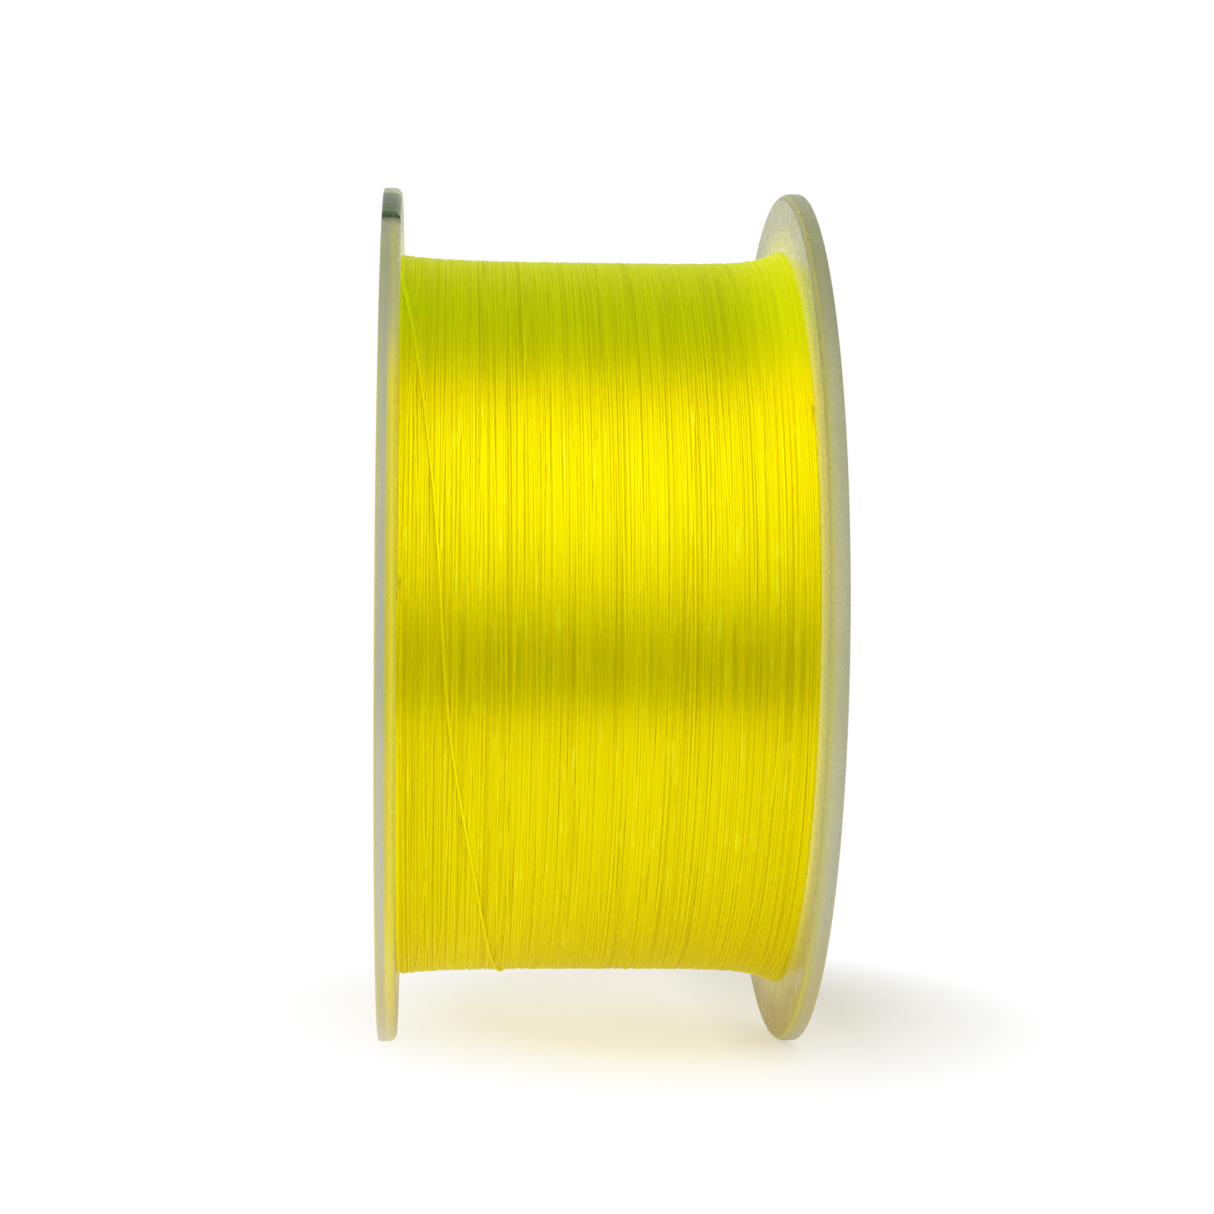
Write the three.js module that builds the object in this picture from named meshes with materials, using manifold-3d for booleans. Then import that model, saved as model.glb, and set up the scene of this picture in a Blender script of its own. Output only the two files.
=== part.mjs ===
// Fishing line spool: two clear flanges on a core barrel and an arbor tube, a wide bed of
// monofilament line wound between them, and a paper label in each flange's outer recess.
// Millimetres, +Z up. The origin is the centre of the bore, midway between the flanges.
// The spool's axis is X, and it stands on the two rims, as it does on a table.

import * as THREE from 'three';
import { mergeVertices } from 'three/addons/utils/BufferGeometryUtils.js';
import Module from 'manifold-3d';

// ---- Driving dimensions ----
const FLANGE_RADIUS = 40;        // the whole spool is 80 mm across
const OVERALL_WIDTH = 38.8;      // from one outer face to the other
const RIM_THICKNESS = 1.7;
const INNER_FILLET = 0.7;        // where the rim turns into the inner face
const OUTER_CHAMFER = 0.25;      // where the rim turns into the outer face
const SIDES = 60;                // facets around every turned piece

const LABEL_RECESS_DEPTH = 0.3;
const LABEL_RECESS_RADIUS = 33.9;
const HUB_FACE_RADIUS = 9;       // flat ring left around the bore, inside the label recess
const LABEL_THICKNESS = 0.15;
const LABEL_MARGIN = 0.3;        // the label is this much smaller than its recess all round
const GLUE_GAP = 0.05;           // between the label and the recess floor

const BORE_RADIUS = 5;           // takes a 10 mm winding spindle
const ARBOR_WALL = 1.2;
const ARBOR_FIT = 0.15;          // radial gap between the arbor tube and its seat
const SEAT_DEPTH = 3;            // collar around the arbor tube, on the flange's inner face
const SEAT_WALL = 1.65;

const CORE_RADIUS = 22;          // the line is wound on this drum
const CORE_WALL = 1.5;
const CORE_END_GAP = 0.1;        // between the drum's end and the flange
const SPIGOT_DEPTH = 3.5;        // ring on the flange that centres the drum
const SPIGOT_WALL = 1.2;
const SPIGOT_FIT = 0.2;

const LINE_DIAMETER = 0.3;
const WINDING_RADIUS = 33.4;     // across the middle of the bed
const WINDING_INSIDE_GAP = 0.3;  // room for the tape between the drum and the first layer
const WINDING_END_GAP = 0.15;    // between the bed and each flange
const LEFT_RISE = 0.5;           // the bed stands higher where the turns pile up at a flange
const LEFT_RISE_LENGTH = 3.5;
const RIGHT_RISE = 1.3;
const RIGHT_RISE_LENGTH = 2.2;
const WINDING_STEPS = 12;

const TAPE_WIDTH = 12;
const TAPE_THICKNESS = 0.12;
const TAPE_ANGLE = 70;           // degrees around the drum
const TAPE_CENTRE = 200;         // degrees, so that it lies under the line at the back

const SLIT_ANGLE = 60;           // degrees up from the front, where the line's end is held
const SLIT_BOTTOM_RADIUS = 34.3;
const SLIT_MOUTH = 1.4;
const SLIT_WIDTH = 0.9;
const LAST_TURN_START = -262;    // degrees, where the last turn comes up out of the bed
const LAST_TURN_STEPS = 76;
const LAST_TURN_PITCH = -0.0645; // mm along the axis for each degree
const LAST_TURN_LIFT = 0.1;      // gap between the last turn and the turns below it
const LAST_TURN_END_GAP = 0.3;   // between the line's end and the flange

// ---- Worked out from them ----
const halfWidth = OVERALL_WIDTH / 2;
const innerFace = halfWidth - RIM_THICKNESS;
const recessFloor = halfWidth - LABEL_RECESS_DEPTH;
const arborRadius = BORE_RADIUS + ARBOR_WALL;
const seatRadius = arborRadius + ARBOR_FIT;
const spigotRadius = CORE_RADIUS - CORE_WALL - SPIGOT_FIT;
const lineRadius = LINE_DIAMETER / 2;
const windingEnd = innerFace - WINDING_END_GAP;

// ---- Materials ----
function material(color, roughness, options = {}) {
  return new THREE.MeshStandardMaterial({ color, roughness, metalness: 0, ...options });
}
const clearPlastic = material(0xd6d9c0, 0.2, { transparent: true, opacity: 0.5 });
const corePlastic = material(0xe9e8e0, 0.45);
const lineNylon = material(0xf2e600, 0.25);
const labelPaper = material(0xf2f1ea, 0.75);
const tapeFilm = material(0xd9c98a, 0.5);

// ---- Places around the axis ----
// Angles are in degrees up from the front of the spool, which faces -Y.
function aroundAxis(x, radius, degrees) {
  const angle = THREE.MathUtils.degToRad(degrees);
  return new THREE.Vector3(x, -radius * Math.cos(angle), radius * Math.sin(angle));
}

// ---- Turned pieces ----
const facet = (2 * Math.PI) / SIDES;
// Half a facet of turn puts a flat at the bottom, and the flats are at the stated radius.
const cornerScale = 1 / Math.cos(facet / 2);

// A ring turned about the X axis from a closed outline of [radius, distance along +X].
function turned(outline) {
  const points = outline.map(([radius, along]) => new THREE.Vector2(radius * cornerScale, along));
  points.push(points[0].clone());
  const geometry = new THREE.LatheGeometry(points, SIDES, facet / 2);
  geometry.rotateZ(-Math.PI / 2);
  return geometry;
}

function tubeOutline(innerRadius, outerRadius, from, to) {
  return [[innerRadius, from], [outerRadius, from], [outerRadius, to], [innerRadius, to]];
}

// Points of a quarter round that runs from the rim in to the flange's inner face.
function rimFillet(steps) {
  const points = [];
  for (let step = 0; step <= steps; step++) {
    const angle = (step / steps) * (Math.PI / 2);
    points.push([
      FLANGE_RADIUS - INNER_FILLET * (1 - Math.cos(angle)),
      innerFace + INNER_FILLET * (1 - Math.sin(angle)),
    ]);
  }
  return points;
}

// ---- Flange ----
function flangeGeometry() {
  const recessSlope = LABEL_RECESS_DEPTH;
  const outerFace = [
    [seatRadius, halfWidth],
    [HUB_FACE_RADIUS, halfWidth],
    [HUB_FACE_RADIUS, recessFloor],
    [LABEL_RECESS_RADIUS, recessFloor],
    [LABEL_RECESS_RADIUS + recessSlope, halfWidth],
    [FLANGE_RADIUS - OUTER_CHAMFER, halfWidth],
    [FLANGE_RADIUS, halfWidth - OUTER_CHAMFER],
  ];
  const innerSide = [
    [spigotRadius, innerFace],
    [spigotRadius, innerFace - SPIGOT_DEPTH],
    [spigotRadius - SPIGOT_WALL, innerFace - SPIGOT_DEPTH],
    [spigotRadius - SPIGOT_WALL, innerFace],
    [seatRadius + SEAT_WALL, innerFace],
    [seatRadius + SEAT_WALL, innerFace - SEAT_DEPTH],
    [seatRadius, innerFace - SEAT_DEPTH],
  ];
  const outline = [...outerFace, ...rimFillet(3), ...innerSide];
  return turned(outline.reverse());
}

// ---- Solids for cutting ----
const wasm = await Module();
wasm.setup();

function solidFrom(geometry) {
  const bare = geometry.clone();
  bare.deleteAttribute('normal');
  bare.deleteAttribute('uv');
  const merged = mergeVertices(bare, 1e-4);
  const vertProperties = new Float32Array(merged.attributes.position.array);
  const triVerts = new Uint32Array(merged.index.array);
  return new wasm.Manifold(new wasm.Mesh({ numProp: 3, vertProperties, triVerts }));
}

function geometryFrom(solid) {
  const mesh = solid.getMesh();
  const geometry = new THREE.BufferGeometry();
  geometry.setAttribute('position', new THREE.BufferAttribute(mesh.vertProperties, 3));
  geometry.setIndex(new THREE.BufferAttribute(mesh.triVerts, 1));
  geometry.computeVertexNormals();
  return geometry;
}

// A wedge that cuts the radial slit: narrow at its bottom, with a wider mouth at the rim.
function slitCutter() {
  const beyondRim = FLANGE_RADIUS + 1;
  const neck = FLANGE_RADIUS - 1.2;
  const shape = new THREE.Shape();
  shape.moveTo(SLIT_BOTTOM_RADIUS, -SLIT_WIDTH / 2);
  shape.lineTo(neck, -SLIT_WIDTH / 2);
  shape.lineTo(beyondRim, -SLIT_MOUTH / 2);
  shape.lineTo(beyondRim, SLIT_MOUTH / 2);
  shape.lineTo(neck, SLIT_WIDTH / 2);
  shape.lineTo(SLIT_BOTTOM_RADIUS, SLIT_WIDTH / 2);
  shape.closePath();
  const depth = RIM_THICKNESS + 2;
  const cutter = new THREE.ExtrudeGeometry(shape, { depth, bevelEnabled: false });
  // The outline's length turns to point up and out from the front, and its depth runs along X.
  const outward = aroundAxis(0, 1, SLIT_ANGLE);
  const alongAxis = new THREE.Vector3(1, 0, 0);
  const across = new THREE.Vector3().crossVectors(alongAxis, outward);
  cutter.applyMatrix4(new THREE.Matrix4().makeBasis(outward, across, alongAxis));
  cutter.translate(-halfWidth - 1, 0, 0);
  return cutter;
}

// ---- Winding ----
// The bed of line is a little dished: it stands higher where its turns pile up at a flange.
function windingRadiusAt(x) {
  const left = LEFT_RISE * Math.exp(-(x + windingEnd) / LEFT_RISE_LENGTH);
  const right = RIGHT_RISE * Math.exp(-(windingEnd - x) / RIGHT_RISE_LENGTH);
  return WINDING_RADIUS + left + right;
}

function windingGeometry() {
  const outline = [];
  for (let step = 0; step <= WINDING_STEPS; step++) {
    // Steps are closer together near the flanges, where the bed curves.
    const x = -windingEnd * Math.cos((step / WINDING_STEPS) * Math.PI);
    outline.push([windingRadiusAt(x), x]);
  }
  outline.push([CORE_RADIUS + WINDING_INSIDE_GAP, windingEnd]);
  outline.push([CORE_RADIUS + WINDING_INSIDE_GAP, -windingEnd]);
  return turned(outline);
}

// ---- The last turn of line ----
// It lies on the bed until it can run straight to the bottom of the slit in the left flange.
function lastTurnPath() {
  const endRadius = SLIT_BOTTOM_RADIUS + 2 * lineRadius;
  const endX = -innerFace + LAST_TURN_END_GAP;
  const end = aroundAxis(endX, endRadius, SLIT_ANGLE);
  const bedRadius = (x) => windingRadiusAt(x) * cornerScale + lineRadius + LAST_TURN_LIFT;
  const leaves = SLIT_ANGLE - THREE.MathUtils.radToDeg(Math.acos(bedRadius(0) / endRadius));
  const points = [];
  const turnSteps = 60;
  for (let step = 0; step <= turnSteps; step++) {
    const degrees = LAST_TURN_START + (leaves - LAST_TURN_START) * (step / turnSteps);
    const x = endX + LAST_TURN_PITCH * (degrees - SLIT_ANGLE);
    points.push(aroundAxis(x, bedRadius(x), degrees));
  }
  points.push(end);
  return new THREE.CatmullRomCurve3(points, false, 'centripetal');
}

function lastTurnGeometry() {
  const section = new THREE.Shape();
  const sectionSides = 8;
  for (let side = 0; side < sectionSides; side++) {
    const angle = (side / sectionSides) * 2 * Math.PI;
    const x = lineRadius * Math.cos(angle);
    const y = lineRadius * Math.sin(angle);
    if (side === 0) section.moveTo(x, y);
    else section.lineTo(x, y);
  }
  section.closePath();
  return new THREE.ExtrudeGeometry(section, {
    steps: LAST_TURN_STEPS,
    extrudePath: lastTurnPath(),
    bevelEnabled: false,
  });
}

// ---- Tape under the first layer ----
function tapeGeometry() {
  const inner = CORE_RADIUS * cornerScale + 0.02;
  const outer = inner + TAPE_THICKNESS;
  const from = THREE.MathUtils.degToRad(TAPE_CENTRE - TAPE_ANGLE / 2);
  const to = THREE.MathUtils.degToRad(TAPE_CENTRE + TAPE_ANGLE / 2);
  const shape = new THREE.Shape();
  shape.absarc(0, 0, outer, from, to, false);
  shape.absarc(0, 0, inner, to, from, true);
  shape.closePath();
  const geometry = new THREE.ExtrudeGeometry(shape, {
    depth: TAPE_WIDTH,
    bevelEnabled: false,
    curveSegments: 24,
  });
  geometry.translate(0, 0, -TAPE_WIDTH / 2);
  geometry.rotateY(Math.PI / 2);
  return geometry;
}

// ---- Assembly ----
const spool = new THREE.Group();

function add(name, geometry, pieceMaterial) {
  const mesh = new THREE.Mesh(geometry, pieceMaterial);
  mesh.name = name;
  spool.add(mesh);
  return mesh;
}

const flange = flangeGeometry();
add('right_flange', flange, clearPlastic);

// The left flange is the same moulding turned to face the other way, with the slit in its rim.
const leftBlank = flange.clone().rotateZ(Math.PI);
const leftFlange = geometryFrom(solidFrom(leftBlank).subtract(solidFrom(slitCutter())));
add('left_flange', leftFlange, clearPlastic);

const drumEnd = innerFace - CORE_END_GAP;
add('core_barrel', turned(tubeOutline(CORE_RADIUS - CORE_WALL, CORE_RADIUS, -drumEnd, drumEnd)),
  corePlastic);
add('arbor_tube', turned(tubeOutline(BORE_RADIUS, arborRadius, -halfWidth, halfWidth)),
  corePlastic);
add('start_tape', tapeGeometry(), tapeFilm);
add('line_winding', windingGeometry(), lineNylon);
add('line_last_turn', lastTurnGeometry(), lineNylon);

const label = turned(tubeOutline(
  HUB_FACE_RADIUS + LABEL_MARGIN,
  LABEL_RECESS_RADIUS - LABEL_MARGIN,
  recessFloor + GLUE_GAP,
  recessFloor + GLUE_GAP + LABEL_THICKNESS,
));
add('right_label', label, labelPaper);
add('left_label', label.clone().rotateZ(Math.PI), labelPaper);

export default spool;
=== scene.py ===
"""Looks of the fishing line spool: clear flanges, yellow nylon line, paper labels and a hollow core.

Everything is in metres in the CAD frame: the spool's axis is X, the front faces -Y, and +Z is up.
Angles around the axis are in degrees up from the front.
"""
import math

import bpy
import numpy as np
from mathutils import Matrix, Vector


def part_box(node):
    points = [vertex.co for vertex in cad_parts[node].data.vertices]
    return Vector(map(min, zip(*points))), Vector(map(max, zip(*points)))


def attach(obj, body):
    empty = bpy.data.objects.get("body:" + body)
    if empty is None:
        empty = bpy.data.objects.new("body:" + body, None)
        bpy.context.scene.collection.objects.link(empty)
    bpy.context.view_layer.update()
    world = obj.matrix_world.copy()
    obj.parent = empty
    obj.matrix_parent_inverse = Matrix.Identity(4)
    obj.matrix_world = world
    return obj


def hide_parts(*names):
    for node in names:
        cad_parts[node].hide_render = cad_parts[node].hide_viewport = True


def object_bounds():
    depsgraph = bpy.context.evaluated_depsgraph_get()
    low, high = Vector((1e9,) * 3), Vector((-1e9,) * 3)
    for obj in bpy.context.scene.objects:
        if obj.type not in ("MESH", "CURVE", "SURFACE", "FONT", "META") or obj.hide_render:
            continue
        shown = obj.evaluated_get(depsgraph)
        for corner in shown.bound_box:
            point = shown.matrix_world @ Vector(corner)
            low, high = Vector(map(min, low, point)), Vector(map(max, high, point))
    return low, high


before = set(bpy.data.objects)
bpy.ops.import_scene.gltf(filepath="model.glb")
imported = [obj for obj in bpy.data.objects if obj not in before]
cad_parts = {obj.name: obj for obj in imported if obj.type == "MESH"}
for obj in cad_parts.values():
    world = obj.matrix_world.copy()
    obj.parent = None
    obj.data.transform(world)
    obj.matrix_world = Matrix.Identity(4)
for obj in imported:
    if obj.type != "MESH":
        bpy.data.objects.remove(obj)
CAD_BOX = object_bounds()

MM = 0.001


# ---- Sizes that come from the frame ----
def top_of(node):
    """A turned node's outer radius."""
    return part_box(node)[1].z


FLANGE_RADIUS = CAD_BOX[1].z
HALF_WIDTH = CAD_BOX[1].x
LABEL_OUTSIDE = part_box("right_label")[1].x
LABEL_RADIUS = top_of("right_label")
CORE_RADIUS = top_of("core_barrel")
CORE_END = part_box("core_barrel")[1].x
ARBOR_RADIUS = top_of("arbor_tube")
CAD_BED_GAP = 0.15 * MM      # between the CAD's bed of line and each flange
INNER_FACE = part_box("line_winding")[1].x + CAD_BED_GAP
BED_END = INNER_FACE - 0.03 * MM
SPIGOT_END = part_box("right_flange")[0].x
TAPE_LOW, TAPE_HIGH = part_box("start_tape")

# ---- Sizes of the fine shape ----
BORE_RADIUS = 5 * MM
HUB_FACE_RADIUS = 9 * MM
RECESS_DEPTH = 0.3 * MM
RECESS_RADIUS = LABEL_RADIUS + 0.3 * MM
SEAT_RADIUS = ARBOR_RADIUS + 0.15 * MM
SEAT_WALL = 1.65 * MM
SEAT_DEPTH = 3 * MM
SPIGOT_RADIUS = CORE_RADIUS - 1.7 * MM
SPIGOT_WALL = 1.2 * MM
CORE_WALL = 1.5 * MM
TAPE_START, TAPE_END = 165, 235     # degrees
LINE_RADIUS = 0.15 * MM
LINE_PITCH = 2 * LINE_RADIUS
STEPS_PER_TURN = 92
HEART_DEPTH = 0.16 * MM      # how far the smooth heart of the bed lies under its top
BED_RADIUS = 33.4 * MM
LEFT_RISE, LEFT_RISE_LENGTH = 0.5 * MM, 3.5 * MM
RIGHT_RISE, RIGHT_RISE_LENGTH = 1.3 * MM, 2.2 * MM
SLIT_ANGLE = 60              # degrees
SLIT_BOTTOM = 34.3 * MM
SLIT_WIDTH = 0.5 * MM
SLIT_MOUTH = 1.3 * MM
FLOOR = -FLANGE_RADIUS
FLOOR_FRONT = -82 * MM       # the white table's near edge

# ---- Camera ----
CAMERA_PLACE = Vector((-14.8, -268.6, -9.1)) * MM
CAMERA_YAW = 3.566           # degrees, towards +X
CAMERA_PITCH = 2.115         # degrees, upwards
CAMERA_ROLL = 0.275          # degrees
CAMERA_LENS = 83.83          # mm on a 36 mm sensor


def make_camera():
    data = bpy.data.cameras.new("camera")
    data.lens = CAMERA_LENS
    data.sensor_width = 36
    data.clip_start = 0.01
    camera = bpy.data.objects.new("camera", data)
    bpy.context.collection.objects.link(camera)
    yaw, pitch, roll = map(math.radians, (CAMERA_YAW, CAMERA_PITCH, CAMERA_ROLL))
    aim = Matrix.Rotation(-yaw, 4, "Z") @ Matrix.Rotation(math.pi / 2 + pitch, 4, "X")
    camera.matrix_world = Matrix.Translation(CAMERA_PLACE) @ aim @ Matrix.Rotation(roll, 4, "Z")
    bpy.context.scene.camera = camera


# ---- Mesh helpers ----
def mesh_object(name, vertices, faces, smooth_angle=35):
    """A smooth-shaded mesh; edges that turn by more than the angle, in degrees, stay sharp."""
    mesh = bpy.data.meshes.new(name)
    mesh.from_pydata(vertices, [], faces)
    mesh.shade_smooth()
    if smooth_angle is not None:
        mesh.set_sharp_from_angle(angle=math.radians(smooth_angle))
    obj = bpy.data.objects.new(name, mesh)
    bpy.context.collection.objects.link(obj)
    return obj


def turned(name, outline, sides=256):
    """A ring around the X axis from a closed outline of (radius, place along X)."""
    outline = np.array(outline)
    count = len(outline)
    angles = np.arange(sides) * 2 * math.pi / sides
    radius, along = outline[:, 0], outline[:, 1]
    vertices = np.empty((sides, count, 3))
    vertices[..., 0] = along
    vertices[..., 1] = -np.cos(angles)[:, None] * radius
    vertices[..., 2] = np.sin(angles)[:, None] * radius
    ring = np.arange(sides)[:, None] * count
    next_ring = (np.arange(1, sides + 1) % sides)[:, None] * count
    point = np.arange(count)[None, :]
    next_point = (point + 1) % count
    faces = np.stack([ring + point, ring + next_point, next_ring + next_point, next_ring + point], -1)
    if outline_area(outline) < 0:
        faces = faces[..., ::-1]
    return mesh_object(name, vertices.reshape(-1, 3), faces.reshape(-1, 4))


def outline_area(outline):
    """Positive for an outline that runs from the axis outwards at its low-X end."""
    radius, along = outline[:, 0], outline[:, 1]
    return float(np.sum(radius * np.roll(along, -1) - np.roll(radius, -1) * along))


def arc(centre_radius, centre_along, size, start, end, steps=6):
    """Points of a round corner; angles in degrees, 0 pointing outwards and 90 along +X."""
    turns = np.radians(np.linspace(start, end, steps + 1))
    return [(centre_radius + size * math.cos(t), centre_along + size * math.sin(t)) for t in turns]


def rounded_tube(name, inner, outer, from_x, to_x, edge):
    """A plain tube with small rounds on its four edges."""
    outline = (
        arc(outer - edge, to_x - edge, edge, 0, 90, 3)
        + arc(inner + edge, to_x - edge, edge, 90, 180, 3)
        + arc(inner + edge, from_x + edge, edge, 180, 270, 3)
        + arc(outer - edge, from_x + edge, edge, 270, 360, 3)
    )
    return turned(name, outline, sides=192)


def around(x, radius, degrees):
    """A point at this place along the axis, radius and angle up from the front."""
    turn = math.radians(degrees)
    return Vector((x, -radius * math.cos(turn), radius * math.sin(turn)))


def tube_along(name, path, radius, sides):
    """A round line with closed ends along a path of points that winds about the X axis."""
    path = np.asarray(path, dtype=float)
    tangent = np.gradient(path, axis=0)
    tangent /= np.linalg.norm(tangent, axis=1)[:, None]
    outward = path * np.array([0.0, 1.0, 1.0])
    outward -= tangent * np.sum(outward * tangent, axis=1)[:, None]
    outward /= np.linalg.norm(outward, axis=1)[:, None]
    sideways = np.cross(tangent, outward)
    turns = np.arange(sides) * 2 * math.pi / sides
    ring = outward[:, None, :] * np.cos(turns)[None, :, None]
    ring = ring + sideways[:, None, :] * np.sin(turns)[None, :, None]
    vertices = (path[:, None, :] + radius * ring).reshape(-1, 3)
    step = np.arange(len(path) - 1)[:, None] * sides
    side = np.arange(sides)[None, :]
    next_side = (side + 1) % sides
    quads = np.stack([step + side, step + next_side, step + sides + next_side, step + sides + side], -1)
    faces = quads.reshape(-1, 4).tolist()
    last = (len(path) - 1) * sides
    faces.append(list(range(sides - 1, -1, -1)))
    faces.append([last + i for i in range(sides)])
    return mesh_object(name, vertices, faces, smooth_angle=None if sides < 8 else 60)


def finish_piece(piece, material, slot, *nodes):
    """Gives a piece its material and its body and hides the CAD nodes that it stands for; slot is not used.
    """
    piece.data.materials.clear()
    piece.data.materials.append(material)
    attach(piece, "root")
    if nodes:
        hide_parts(*nodes)


# ---- Shader helpers ----
class Tree:
    """Short names for adding nodes to a node tree."""

    def __init__(self, tree):
        self.tree = tree

    def put(self, socket, value):
        """Links an output to this input, or sets the input's value."""
        if isinstance(value, bpy.types.NodeSocket):
            self.tree.links.new(value, socket)
        else:
            socket.default_value = value

    def add(self, kind, **inputs):
        node = self.tree.nodes.new(kind)
        for key, value in inputs.items():
            self.put(node.inputs[key.replace("_", " ")], value)
        return node

    def math(self, operation, a, b=0.0):
        node = self.tree.nodes.new("ShaderNodeMath")
        node.operation = operation
        self.put(node.inputs[0], a)
        self.put(node.inputs[1], b)
        return node.outputs[0]

    def length(self, a, b):
        """The length of the two parts together."""
        return self.math("SQRT", self.math("ADD", self.math("POWER", a, 2.0), self.math("POWER", b, 2.0)))

    def blend(self, factor, a, b):
        """A colour between two colours, each an output or three numbers."""
        node = self.tree.nodes.new("ShaderNodeMix")
        node.data_type = "RGBA"
        self.put(node.inputs[0], factor)
        for socket, value in ((node.inputs[6], a), (node.inputs[7], b)):
            self.put(socket, (*value, 1.0) if isinstance(value, tuple) else value)
        return node.outputs[2]


class Nodes(Tree):
    """A new material's tree, with its shader and the place on the piece."""

    def __init__(self, name):
        self.material = bpy.data.materials.new(name)
        self.material.use_nodes = True
        super().__init__(self.material.node_tree)
        self.shader = self.tree.nodes["Principled BSDF"]
        self.place = self.add("ShaderNodeTexCoord").outputs["Object"]
        self.x, self.y, self.z = self.add("ShaderNodeSeparateXYZ", Vector=self.place).outputs

    def set(self, **inputs):
        for key, value in inputs.items():
            self.put(self.shader.inputs[key.replace("_", " ")], value)

    def streaked(self, along, across):
        """A place vector that changes fast along the spool's axis and slowly round it."""
        node = self.add("ShaderNodeMapping", Vector=self.place, Scale=(along, across, across))
        return node.outputs[0]

    def noise(self, vector, scale=1.0, detail=2.0):
        node = self.add("ShaderNodeTexNoise", Vector=vector, Scale=scale, Detail=detail)
        return node.outputs["Fac"]

    def between(self, value, low, high, to_low, to_high):
        """Maps low to to_low and high to to_high, and stays level beyond them."""
        node = self.add("ShaderNodeMapRange", Value=value, From_Min=low, From_Max=high,
                        To_Min=to_low, To_Max=to_high)
        return node.outputs["Result"]

    def band(self, value, rise, fall, peak):
        """Zero up to the rise, this peak between the rise and the fall, and zero beyond."""
        return self.math("MULTIPLY", self.between(value, *rise, 0, peak), self.between(value, *fall, 1, 0))

    def bump(self, height, strength, distance):
        node = self.add("ShaderNodeBump", Height=height, Strength=strength, Distance=distance)
        self.set(Normal=node.outputs[0])


# ---- Materials ----
def dim(colour, shade):
    """The colour with its three parts scaled by the shade."""
    return tuple(shade * part for part in colour)


def line_material(name, shade):
    """Fluorescent yellow nylon: translucent, glossy and a little uneven, with painted glints, a painted
    glow and a painted green tint near its top from light above.
    """
    n = Nodes(name)
    streaks = n.noise(n.streaked(2600, 30), detail=1.0)
    mottle = n.noise(n.streaked(160, 90), detail=2.0)
    # Painted glints: small pale-yellow highlights put into the colour.
    painted_glints = n.noise(n.streaked(3200, 280), detail=0.0)
    colour = n.blend(n.between(streaks, 0.3, 0.7, 0, 1), dim((0.93, 0.79, 0.0), shade),
                     dim((0.97, 0.83, 0.0), shade))
    colour = n.blend(n.between(mottle, 0.35, 0.75, 0, 0.3), colour, dim((0.90, 0.78, 0.0), shade))
    colour = n.blend(n.between(painted_glints, 0.69, 0.79, 0, 1), colour, (1.0, 0.92, 0.012))
    # Painted light: greener near the top, where greenish light falls from above.
    colour = n.blend(n.between(n.z, 18 * MM, 26 * MM, 0, 1), colour, dim((0.74, 0.92, 0.0), shade))
    n.set(Base_Color=colour, Roughness=n.between(streaks, 0.3, 0.7, 0.28, 0.38), Metallic=0.65)
    n.set(IOR=1.53, Specular_IOR_Level=0.05, Specular_Tint=(1.0, 0.93, 0.05, 1.0))
    n.set(Subsurface_Weight=0.9, Subsurface_Radius=(1.0, 0.9, 0.1), Subsurface_Scale=0.0008)
    # Painted glow: brighter near the right flange's upper part, with a weak even glow that lightens the
    # gaps between the strands.
    near_right = n.between(n.x, 11 * MM, 16.5 * MM, 0, 0.15)
    near_top = n.between(n.z, 6 * MM, 20 * MM, 0, 1)
    painted_glow = n.math("ADD", n.math("MULTIPLY", near_right, near_top), 0.06)
    n.set(Emission_Color=(1.0, 0.84, 0.0, 1.0), Emission_Strength=painted_glow)
    return n.material


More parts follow.
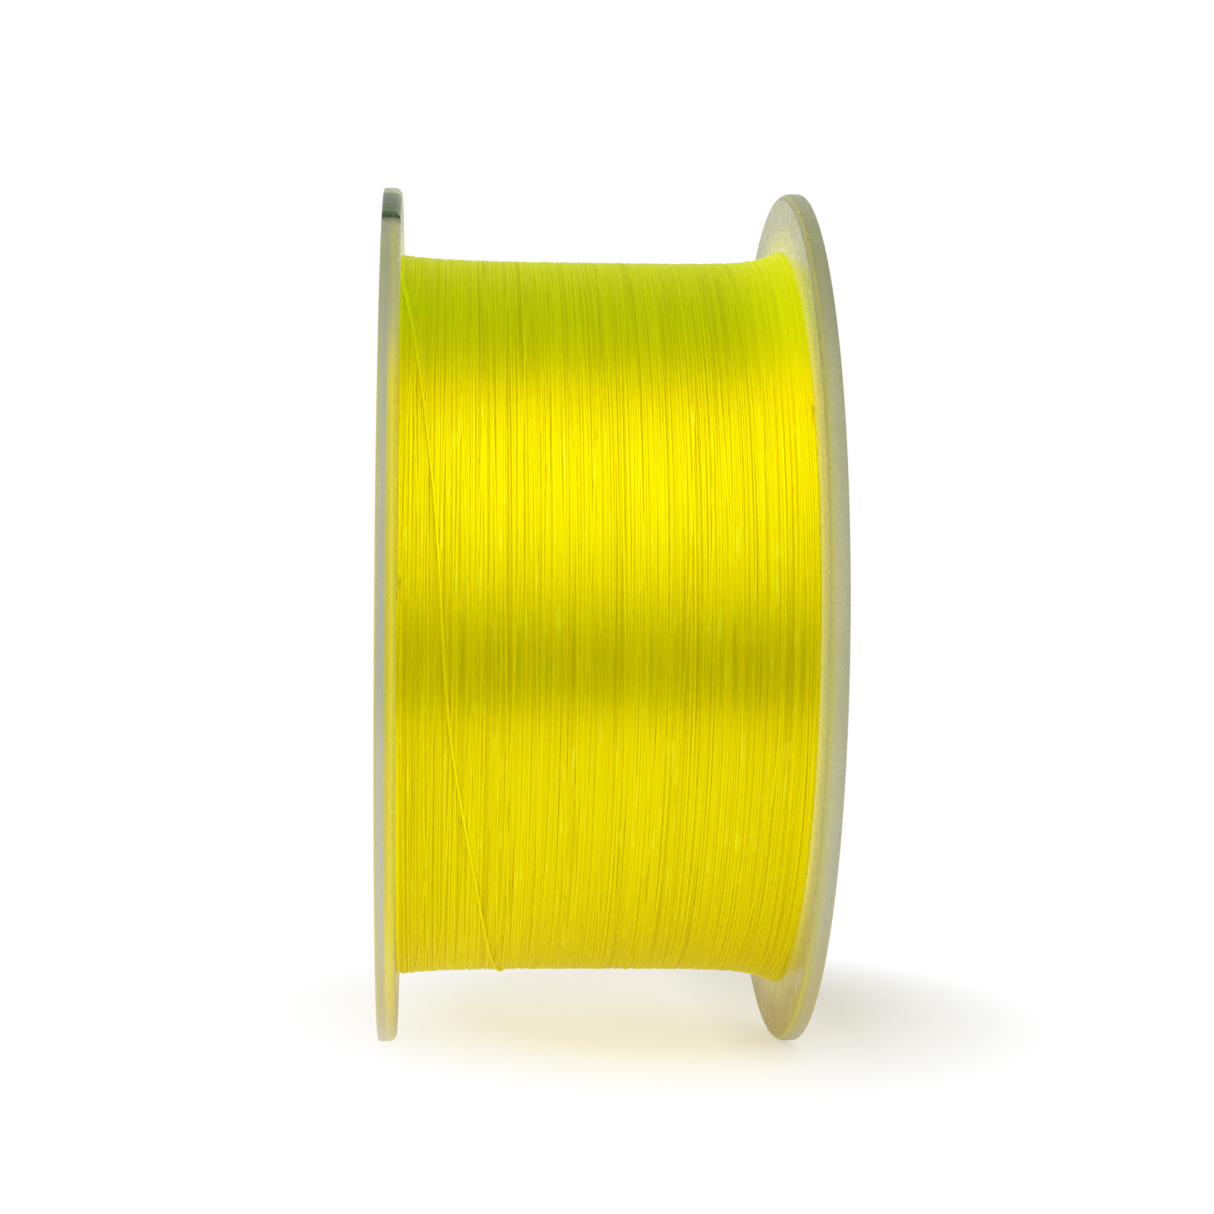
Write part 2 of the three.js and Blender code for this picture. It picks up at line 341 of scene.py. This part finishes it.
def clear_plastic(name, shade, rim_shade, glow_strength, dark_arc=None):
    """Clear styrene with a milky cast, with painted light: the line's yellow light in the parts next to it,
    amber at the bottom and shade on the rim.

    glow_strength is for the painted bands of yellow light on the rim. dark_arc gives the angles, up from
    the front, between which the rim gets a painted dark reflection.
    """
    n = Nodes(name)
    scuffs = n.noise(n.place, scale=500.0, detail=2.0)
    waves = n.noise(n.place, scale=90.0, detail=1.0)
    depth = n.math("SUBTRACT", n.math("ABSOLUTE", n.x), INNER_FACE)
    radius = n.length(n.y, n.z)
    on_rim = n.between(radius, FLANGE_RADIUS - 0.7 * MM, FLANGE_RADIUS - 0.5 * MM, 0, 1)

    colour = n.blend(n.between(waves, 0.3, 0.7, 0, 1), dim((0.69, 0.67, 0.47), shade),
                     dim((0.76, 0.74, 0.53), shade))
    # Painted shade: the rim is darker towards the top, where less light falls on it.
    rim_colour = n.blend(n.between(n.z, 0.0, 30 * MM, 0, 1), dim((0.80, 0.81, 0.76), rim_shade),
                         dim((0.45, 0.49, 0.42), rim_shade))
    colour = n.blend(n.math("MULTIPLY", on_rim, 0.9), colour, rim_colour)
    # Painted light: a yellow halo where the line's light shows through the face beside it; it also glows a
    # little.
    halo = n.band(radius, (CORE_RADIUS - 3 * MM, CORE_RADIUS),
                  (BED_RADIUS + 0.5 * MM, BED_RADIUS + 4.0 * MM), 0.8)
    colour = n.blend(halo, colour, (0.98, 0.94, 0.22))
    # Painted light and shade: the lower part is amber, from the line's yellow light thrown down into the
    # shadowed plastic; there it also lets less light through and reflects less.
    low = n.math("MULTIPLY", n.between(n.z, -24 * MM, -34 * MM, 0, 1),
                 n.between(depth, 0.0, 0.6 * MM, 1, 0.65))
    colour = n.blend(low, colour, (0.56, 0.44, 0.03))
    # Painted light: yellow bands on the rim where the line's light shows through the plastic; they fade
    # towards the top and bottom and glow a little.
    between_ends = n.math("MULTIPLY", n.between(n.z, 24 * MM, 18 * MM, 0.25, 1),
                          n.between(n.z, -38 * MM, -28 * MM, 0.2, 1))
    inner_band = n.band(depth, (-0.1 * MM, 0.05 * MM), (0.75 * MM, 0.95 * MM), glow_strength)
    outer_band = n.between(depth, 1.45 * MM, 1.6 * MM, 0, 0.6 * glow_strength)
    bands = n.math("MULTIPLY", n.math("ADD", inner_band, outer_band), on_rim)
    glow = n.math("MULTIPLY", bands, between_ends)
    colour = n.blend(glow, colour, (0.93, 0.80, 0.01))
    # Painted light: a yellow-olive line at the rim's inner corner where the line's light shows, on flanges
    # with weak glow bands.
    corner = n.band(depth, (0.05 * MM, 0.15 * MM), (0.3 * MM, 0.45 * MM), 0.8 * (1 - glow_strength))
    colour = n.blend(n.math("MULTIPLY", corner, on_rim), colour, (0.72, 0.66, 0.10))
    # Painted reflection: a dark arc on the rim, standing in for the dark surroundings reflected there.
    if dark_arc:
        angle = n.math("ARCTAN2", n.z, n.math("MULTIPLY", n.y, -1.0))
        low_end, high_end = map(math.radians, dark_arc)
        arc_band = n.band(angle, (low_end - 0.02, low_end + 0.02), (high_end - 0.01, high_end + 0.01), 0.95)
        colour = n.blend(n.math("MULTIPLY", arc_band, on_rim), colour, (0.03, 0.09, 0.06))

    n.set(Base_Color=colour, Roughness=n.between(scuffs, 0.35, 0.7, 0.24, 0.34), IOR=1.5)
    n.set(Transmission_Weight=n.math("SUBTRACT", 0.42, n.math("MULTIPLY", low, 0.4)))
    n.set(Specular_IOR_Level=n.math("SUBTRACT", 0.5, n.math("MULTIPLY", low, 0.35)))
    painted_glow = n.math("ADD", n.math("MULTIPLY", halo, 0.16), n.math("MULTIPLY", glow, 0.05))
    n.set(Emission_Color=(1.0, 0.97, 0.06, 1.0), Emission_Strength=painted_glow)
    n.bump(waves, 0.1, 0.0004)
    return n.material


def core_plastic():
    """White moulded plastic with a fine satin grain."""
    n = Nodes("white_styrene")
    grain = n.noise(n.place, scale=2200.0, detail=3.0)
    clouds = n.noise(n.place, scale=120.0, detail=2.0)
    n.set(Base_Color=n.blend(n.between(clouds, 0.3, 0.7, 0, 1), (0.80, 0.80, 0.74), (0.86, 0.86, 0.81)))
    n.set(Roughness=n.between(grain, 0.3, 0.7, 0.38, 0.52))
    n.set(Subsurface_Weight=0.1, Subsurface_Scale=0.002)
    n.bump(grain, 0.2, 0.00004)
    return n.material


# The inner and outer radius of each printed ring, and its ink.
PRINTED_RINGS = (
    (LABEL_RADIUS - 2.6 * MM, LABEL_RADIUS - 1.4 * MM, (0.10, 0.22, 0.30)),
    (LABEL_RADIUS - 9.5 * MM, LABEL_RADIUS - 3.4 * MM, (0.86, 0.72, 0.05)),
    (11.2 * MM, 11.9 * MM, (0.10, 0.22, 0.30)),
)


def label_paper(name, printed):
    """Coated paper: white on its glued side, with plain printed rings on its face."""
    n = Nodes(name)
    fibre = n.noise(n.place, scale=2600.0, detail=4.0)
    colour = n.blend(n.between(fibre, 0.3, 0.7, 0, 1), (0.80, 0.80, 0.77), (0.86, 0.86, 0.84))
    if printed:
        radius = n.length(n.y, n.z)
        for inner, outer, ink in PRINTED_RINGS:
            inside = n.math("GREATER_THAN", radius, inner)
            outside = n.math("LESS_THAN", radius, outer)
            colour = n.blend(n.math("MULTIPLY", inside, outside), colour, ink)
    n.set(Base_Color=colour, Roughness=n.between(fibre, 0.3, 0.7, 0.5, 0.68))
    n.bump(fibre, 0.25, 0.00003)
    return n.material


def tape_film():
    """Amber packing film, a little creased."""
    n = Nodes("tape_film")
    creases = n.noise(n.place, scale=400.0, detail=2.0)
    n.set(Base_Color=n.blend(n.between(creases, 0.3, 0.7, 0, 1), (0.62, 0.52, 0.24), (0.72, 0.62, 0.34)))
    n.set(Roughness=0.4)
    n.bump(creases, 0.2, 0.00004)
    return n.material


# ---- Flanges ----
def flange_outline():
    """The right flange's section, from the hub's outer face round the rim and back along the inner face."""
    rim, inner_round, outer_round = FLANGE_RADIUS, 0.7 * MM, 0.25 * MM
    corner, root = 0.12 * MM, 0.25 * MM
    floor = HALF_WIDTH - RECESS_DEPTH
    seat_outside = SEAT_RADIUS + SEAT_WALL
    spigot_inside = SPIGOT_RADIUS - SPIGOT_WALL
    return (
        [(SEAT_RADIUS + corner, HALF_WIDTH)]
        + arc(HUB_FACE_RADIUS - corner, HALF_WIDTH - corner, corner, 90, 0, 3)
        + [(HUB_FACE_RADIUS, floor), (RECESS_RADIUS, floor)]
        + [(RECESS_RADIUS + RECESS_DEPTH * 0.7, HALF_WIDTH - 0.05 * MM)]
        + [(RECESS_RADIUS + RECESS_DEPTH, HALF_WIDTH)]
        + arc(rim - outer_round, HALF_WIDTH - outer_round, outer_round, 90, 0, 5)
        + arc(rim - inner_round, INNER_FACE + inner_round, inner_round, 0, -90, 8)
        + arc(SPIGOT_RADIUS + root, INNER_FACE - root, root, 90, 180, 3)
        + arc(SPIGOT_RADIUS - corner, SPIGOT_END + corner, corner, 0, -90, 3)
        + arc(spigot_inside + corner, SPIGOT_END + corner, corner, -90, -180, 3)
        + [(spigot_inside, INNER_FACE), (seat_outside, INNER_FACE)]
        + [(seat_outside, INNER_FACE - SEAT_DEPTH), (SEAT_RADIUS, INNER_FACE - SEAT_DEPTH)]
        + [(SEAT_RADIUS, HALF_WIDTH - corner)]
    )


def slit_cutter():
    """A radial wedge with a narrow bottom and a flared mouth at the left flange's rim."""
    stations = (
        (SLIT_BOTTOM, 0.6 * SLIT_WIDTH),
        (SLIT_BOTTOM + 0.3 * MM, SLIT_WIDTH),
        (FLANGE_RADIUS - 1.3 * MM, SLIT_WIDTH),
        (FLANGE_RADIUS - 0.3 * MM, 0.8 * SLIT_MOUTH),
        (FLANGE_RADIUS + 1 * MM, 2 * SLIT_MOUTH),
    )
    outward = around(0, 1, SLIT_ANGLE)
    across = Vector((1, 0, 0)).cross(outward)
    left, right = -HALF_WIDTH - 1 * MM, -INNER_FACE + 1 * MM
    vertices = []
    for radius, width in stations:
        for x in (left, right):
            for side in (-0.5, 0.5):
                vertices.append(outward * radius + across * width * side + Vector((x, 0, 0)))
    faces = [(0, 2, 3, 1)]
    for i in range(len(stations) - 1):
        a, b = 4 * i, 4 * i + 4
        faces += [(a, a + 1, b + 1, b), (a + 2, b + 2, b + 3, a + 3)]
        faces += [(a, b, b + 2, a + 2), (a + 1, a + 3, b + 3, b + 1)]
    end = 4 * (len(stations) - 1)
    faces.append((end, end + 1, end + 3, end + 2))
    cutter = mesh_object("slit_cutter", vertices, faces, smooth_angle=None)
    cutter.data.shade_flat()
    return cutter


def cut(obj, cutter):
    """Takes the cutter out of the piece and bakes the result into its mesh."""
    modifier = obj.modifiers.new("cut", "BOOLEAN")
    modifier.operation = "DIFFERENCE"
    modifier.solver = "EXACT"
    modifier.object = cutter
    evaluated = obj.evaluated_get(bpy.context.evaluated_depsgraph_get())
    mesh = bpy.data.meshes.new_from_object(evaluated)
    obj.modifiers.clear()
    obj.data = mesh
    bpy.data.objects.remove(cutter)


def make_flanges():
    """Two mirrored mouldings; only the left one has the slit."""
    outline = flange_outline()
    right = turned("right_flange_moulding", outline)
    left = turned("left_flange_moulding", [(radius, -along) for radius, along in outline])
    cut(left, slit_cutter())
    # The right flange's rim gets a darker copy of the plastic and the left one stronger yellow bands:
    # painted shade and light.
    right_plastic = clear_plastic("clear_styrene_right", 1.03, 0.68, 0.15)
    left_plastic = clear_plastic("clear_styrene_left", 1.0, 0.93, 0.97, dark_arc=(58, 71))
    finish_piece(right, right_plastic, "clear_flange", "right_flange")
    finish_piece(left, left_plastic, "clear_flange", "left_flange")


# ---- Core, arbor tube, tape and labels ----
def make_core():
    """The drum that the line is wound on, and the tube inside it that the spool turns on."""
    plastic = core_plastic()
    barrel = rounded_tube("core_drum", CORE_RADIUS - CORE_WALL, CORE_RADIUS, -CORE_END, CORE_END, 0.2 * MM)
    finish_piece(barrel, plastic, "core_plastic", "core_barrel")
    arbor = rounded_tube("arbor_sleeve", BORE_RADIUS, ARBOR_RADIUS, -HALF_WIDTH, HALF_WIDTH, 0.25 * MM)
    finish_piece(arbor, plastic, "core_plastic", "arbor_tube")


def make_tape():
    """A thin strip bent round the drum, with slightly wavy cut ends."""
    radius, thickness = CORE_RADIUS + 0.05 * MM, 0.1 * MM
    steps, rows = 48, 10
    vertices, faces = [], []
    for layer in (0, 1):
        for i in range(steps + 1):
            for j in range(rows + 1):
                x = TAPE_LOW.x + (TAPE_HIGH.x - TAPE_LOW.x) * j / rows
                wave = 0.8 * math.sin(3.1 * j) * (1 if i == steps else -1 if i == 0 else 0)
                angle = TAPE_START + (TAPE_END - TAPE_START) * i / steps + wave
                vertices.append(around(x, radius + layer * thickness, angle))
    row = rows + 1
    block = (steps + 1) * row
    for i in range(steps):
        for j in range(rows):
            a = i * row + j
            faces.append((a, a + row, a + row + 1, a + 1))
            faces.append((block + a, block + a + 1, block + a + row + 1, block + a + row))
    border = (
        [i * row for i in range(steps + 1)]
        + [steps * row + j for j in range(1, rows + 1)]
        + [i * row + rows for i in range(steps - 1, -1, -1)]
        + [j for j in range(rows - 1, 0, -1)]
    )
    for a, b in zip(border, border[1:] + border[:1]):
        faces.append((b, a, block + a, block + b))
    tape = mesh_object("tape_strip", vertices, faces)
    finish_piece(tape, tape_film(), "tape", "start_tape")


def make_labels():
    """A printed paper ring in the recess of each flange."""
    face, back = label_paper("label_print", True), label_paper("label_back", False)
    glued = HALF_WIDTH - RECESS_DEPTH - 0.02 * MM
    edge = 0.03 * MM
    inner, outer = HUB_FACE_RADIUS + 0.3 * MM, LABEL_RADIUS
    outline = [
        (inner, glued),
        (outer, glued),
        (outer, LABEL_OUTSIDE - edge),
        (outer - edge, LABEL_OUTSIDE),
        (inner + edge, LABEL_OUTSIDE),
        (inner, LABEL_OUTSIDE - edge),
    ]
    for side, name, node in (
        (1, "right_paper_label", "right_label"),
        (-1, "left_paper_label", "left_label"),
    ):
        label = turned(name, [(radius, side * along) for radius, along in outline])
        finish_piece(label, face, "label_paper", node)
        label.data.materials.append(back)
        for polygon in label.data.polygons:
            if polygon.center.x * side < LABEL_OUTSIDE - 0.5 * edge:
                polygon.material_index = 1


# ---- The wound line ----
def bed_radius(x):
    """The bed is dished: its turns pile up at the flanges. This is the height of its top."""
    x = np.asarray(x, dtype=float)
    left = LEFT_RISE * np.exp(-(x + BED_END) / LEFT_RISE_LENGTH)
    right = RIGHT_RISE * np.exp(-(BED_END - x) / RIGHT_RISE_LENGTH)
    return BED_RADIUS + left + right


def wander(turns, knots_per_turn, size, rng):
    """A smooth random drift along the line, with this many independent values for each turn."""
    place = turns * knots_per_turn
    knots = rng.normal(0.0, size, int(place.max()) + 5)
    whole = place.astype(int)
    t = place - whole
    before, here, after, later = (knots[whole + k] for k in range(4))
    return 0.5 * (2 * here + (after - before) * t + (2 * before - 5 * here + 4 * after - later) * t ** 2
                  + (3 * here - before - 3 * after + later) * t ** 3)


def wound_layer(name, depth, lead, passes, seed, drift, lift, shade):
    """One layer of line, laid to and fro across the bed.

    depth is how far it lies under the bed's top, lead is how far one turn moves along the bed,
    and drift and lift are how much the turns stray along the bed and away from the axis.
    """
    rng = np.random.default_rng(seed)
    reach = BED_END - LINE_RADIUS
    profile = np.linspace(-reach, reach, 400)
    strides = np.hypot(np.diff(profile), np.diff(bed_radius(profile)))
    travelled = np.concatenate([[0], np.cumsum(strides)])
    turn_count = passes * travelled[-1] / lead
    turns = np.linspace(0, turn_count, int(turn_count * STEPS_PER_TURN) + 1)
    place = (1 - np.abs((turns * lead / travelled[-1]) % 2 - 1)) * travelled[-1]
    x = np.interp(place, travelled, profile)
    x = x + wander(turns, 3.3, drift, rng) + wander(turns, 9.1, 0.12 * drift, rng)
    x = np.clip(x, -reach, reach)
    radius = bed_radius(x) - LINE_RADIUS - depth + wander(turns, 4.7, lift, rng)
    angle = turns * 2 * math.pi
    path = np.stack([x, -radius * np.cos(angle), radius * np.sin(angle)], -1)
    piece = tube_along(name, path, LINE_RADIUS, sides=6)
    finish_piece(piece, LINE_MATERIALS[shade], "line")


def make_winding():
    """A smooth heart under three close layers of line and one that crosses them loosely."""
    inner = CORE_RADIUS + 0.3 * MM
    across = [BED_END * math.sin(math.pi / 2 * t) for t in np.linspace(-1, 1, 41)]
    outline = [(float(bed_radius(x)) - HEART_DEPTH, x) for x in across]
    outline += [(inner, BED_END), (inner, -BED_END)]
    heart = turned("wound_line_heart", outline)
    finish_piece(heart, LINE_MATERIALS["deep"], "line", "line_winding")
    wound_layer("wound_line_deep", 0.09 * MM, LINE_PITCH, 1, 11, 0.05 * MM, 0.01 * MM, "deep")
    wound_layer("wound_line_middle", 0.05 * MM, LINE_PITCH, 1, 12, 0.12 * MM, 0.01 * MM, "middle")
    wound_layer("wound_line_top", 0.02 * MM, LINE_PITCH, 1, 13, 0.15 * MM, 0.01 * MM, "top")
    wound_layer("wound_line_crossing", 0.0, 3.1 * MM, 3, 14, 0.6 * MM, 0.004 * MM, "top")


def make_last_turn():
    """The outer end of the line: it slants over the other turns and is wedged in the slit."""
    sunk = 0.1 * MM              # it settles between the turns under it
    end_radius = SLIT_BOTTOM + 0.35 * MM
    start_angle = -262
    slant = -0.0673 * MM         # along the axis for each degree
    # It leaves the bed, which is 0.45 mm higher there, in a straight line to the slit.
    leaves = SLIT_ANGLE - math.degrees(math.acos((BED_RADIUS + 0.45 * MM) / end_radius))
    angles = np.linspace(start_angle, leaves, 280)
    sway = -0.95 * MM * np.exp(-((angles + 18) / 24) ** 2)
    sway = sway - 0.4 * MM * np.exp(-((angles + 75) / 30) ** 2)
    x = -INNER_FACE + 0.2 * MM + slant * (angles - SLIT_ANGLE) + sway
    dive = np.clip((start_angle + 30 - angles) / 30, 0, 1) ** 2
    radius = bed_radius(x) + LINE_RADIUS - sunk - dive * 0.5 * MM
    turns = np.radians(angles)
    path = np.stack([x, -radius * np.cos(turns), radius * np.sin(turns)], -1)
    entry = around(-INNER_FACE, end_radius, SLIT_ANGLE)
    exit_point = around(-INNER_FACE - 0.9 * MM, end_radius + 0.2 * MM, SLIT_ANGLE)
    lead_in = np.linspace(path[-1], np.array(entry), 12)[1:]
    through = np.linspace(np.array(entry), np.array(exit_point), 6)[1:]
    path = np.concatenate([path, lead_in, through])
    for _ in range(6):
        path[1:-1] = 0.25 * path[:-2] + 0.5 * path[1:-1] + 0.25 * path[2:]
    piece = tube_along("last_turn_of_line", path, LINE_RADIUS, sides=12)
    finish_piece(piece, LINE_MATERIALS["top"], "line", "line_last_turn")


# ---- Studio ----
def make_floor():
    """A pale, glowing table that fades to plain white round the spool's shadow; a painted shadow makes its
    glow weaker behind and right of the spool.
    """
    back, side = 0.9, 0.9
    corners = [
        (-side, FLOOR_FRONT, FLOOR),
        (side, FLOOR_FRONT, FLOOR),
        (side, back, FLOOR),
        (-side, back, FLOOR),
    ]
    floor = mesh_object("floor", corners, [(0, 1, 2, 3)], smooth_angle=None)
    n = Nodes("pale_table")
    seen = n.add("ShaderNodeLightPath").outputs["Is Camera Ray"]
    grain = n.noise(n.place, scale=3.0)
    n.set(Base_Color=n.blend(grain, (0.42, 0.41, 0.40), (0.44, 0.43, 0.42)), Roughness=0.6)
    unseen_glow = 0.38
    # Painted shadow: the glow that the eye sees is weaker behind the spool and to its right; the glow's
    # warm tint is painted yellow light from the line.
    painted_shade_behind = n.between(n.y, 0.0, 70 * MM, 0.58, 0.46)
    painted_shadow_right = n.between(n.x, 12 * MM, 26 * MM, 0, 0.18)
    seen_glow = n.math("SUBTRACT", n.math("SUBTRACT", painted_shade_behind, painted_shadow_right), unseen_glow)
    glow = n.math("ADD", n.math("MULTIPLY", seen, seen_glow), unseen_glow)
    n.set(Emission_Color=(1.0, 0.975, 0.90, 1.0), Emission_Strength=glow)
    sideways = n.math("DIVIDE", n.math("SUBTRACT", n.x, 9 * MM), 39 * MM)
    backward = n.math("DIVIDE", n.math("SUBTRACT", n.y, 32 * MM), 76 * MM)
    away = n.length(sideways, backward)
    white = n.add("ShaderNodeEmission", Color=(1.0, 1.0, 1.0, 1.0), Strength=1.0)
    fade = n.add("ShaderNodeMixShader", Fac=n.between(away, 0.5, 1.0, 0, 1))
    n.put(fade.inputs[1], n.shader.outputs[0])
    n.put(fade.inputs[2], white.outputs[0])
    n.put(n.tree.nodes["Material Output"].inputs["Surface"], fade.outputs[0])
    floor.data.materials.append(n.material)


# Light from around the spool's axis: degrees up from the front, and colour.
STUDIO_LIGHT = (
    (-180, (0.51, 0.51, 0.48)),
    (-120, (0.37, 0.37, 0.34)),
    (-60, (0.24, 0.24, 0.22)),
    (-30, (0.15, 0.19, 0.16)),
    (-14, (0.09, 0.15, 0.12)),
    (-2, (0.38, 0.42, 0.37)),
    (8, (0.61, 0.63, 0.56)),
    (22, (0.76, 0.79, 0.71)),
    (38, (0.895, 0.91, 0.83)),
    (62, (0.91, 0.93, 0.84)),
    (74, (0.70, 0.68, 0.58)),
    (86, (0.29, 0.31, 0.27)),
    (100, (0.23, 0.23, 0.20)),
    (118, (0.27, 0.27, 0.24)),
    (136, (0.38, 0.37, 0.33)),
    (150, (0.44, 0.44, 0.40)),
    (165, (0.49, 0.49, 0.45)),
    (180, (0.51, 0.51, 0.48)),
)
SOFT_LIGHT = (0.52, 0.52, 0.47)
SOFT_SHARE = 0.75            # of the light that anything but a glossy reflection sees
STUDIO_STRENGTH = 1.65


def make_world():
    """Long strips of light that run along the spool, so the light depends on the angle round its axis.

    The eye sees plain white behind everything.
    """
    world = bpy.data.worlds.new("studio")
    world.use_nodes = True
    bpy.context.scene.world = world
    w = Tree(world.node_tree)
    direction = w.add("ShaderNodeTexCoord").outputs["Generated"]
    x, y, z = w.add("ShaderNodeSeparateXYZ", Vector=direction).outputs
    angle = w.math("ARCTAN2", z, w.math("MULTIPLY", y, -1.0))
    place = w.math("ADD", w.math("DIVIDE", angle, 2 * math.pi), 0.5)
    ramp = w.add("ShaderNodeValToRGB", Fac=place)
    elements = ramp.color_ramp.elements
    while len(elements) < len(STUDIO_LIGHT):
        elements.new(0.5)
    for element, (degrees, colour) in zip(elements, STUDIO_LIGHT):
        element.position = degrees / 360 + 0.5
        element.color = (*colour, 1.0)
    strips = ramp.outputs[0]
    rays = w.add("ShaderNodeLightPath").outputs
    light = w.blend(rays["Is Glossy Ray"], w.blend(SOFT_SHARE, strips, SOFT_LIGHT), strips)
    seen = w.blend(rays["Is Camera Ray"], light, (1 / STUDIO_STRENGTH,) * 3)
    background = world.node_tree.nodes["Background"]
    w.put(background.inputs["Color"], seen)
    w.put(background.inputs["Strength"], STUDIO_STRENGTH)


def make_studio():
    """The table, the light and a plain view transform."""
    make_floor()
    make_world()
    settings = bpy.context.scene.view_settings
    settings.view_transform = "Standard"
    settings.look = "None"


make_camera()
# The deeper layers are slightly darker copies of the nylon: painted shade between the strands.
LINE_MATERIALS = {
    "top": line_material("nylon_top", 1.0),
    "middle": line_material("nylon_middle", 0.99),
    "deep": line_material("nylon_deep", 0.97),
}
make_flanges()
make_core()
make_tape()
make_labels()
make_winding()
make_last_turn()
make_studio()
